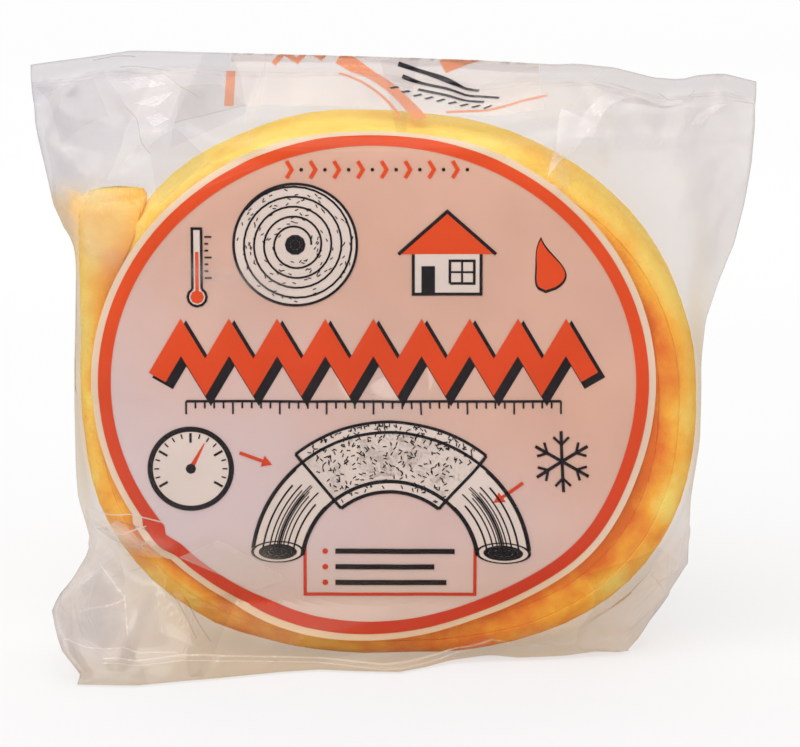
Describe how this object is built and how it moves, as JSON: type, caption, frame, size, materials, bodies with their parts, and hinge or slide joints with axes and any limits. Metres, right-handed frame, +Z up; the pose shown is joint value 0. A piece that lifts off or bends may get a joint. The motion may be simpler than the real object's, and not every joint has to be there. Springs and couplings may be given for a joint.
{
  "type": "bagged insulation roll",
  "caption": "Roll of glass-fibre pipe wrap strip standing on its rim in a clear, heat-sealed film bag, with a small roll of vapour-seal film in its bore.",
  "frame": {"origin": "centre of the bounding box in plan, at the floor under the bag", "axes": "+Z up, +X across the roll's face to the right as seen from the front, +Y along the roll's axis from the printed front to the back"},
  "size_m": [0.3628, 0.1242, 0.299],
  "materials": {
    "glass_fibre": "yellow bonded glass wool, matt and fibrous",
    "seal_film": "wound white plastic film",
    "bag_film": null
  },
  "bodies": {
    "root": {"insulation_roll": "glass_fibre", "vapor_seal_wrap": "seal_film", "film_bag": "bag_film"}
  },
  "joints": []
}
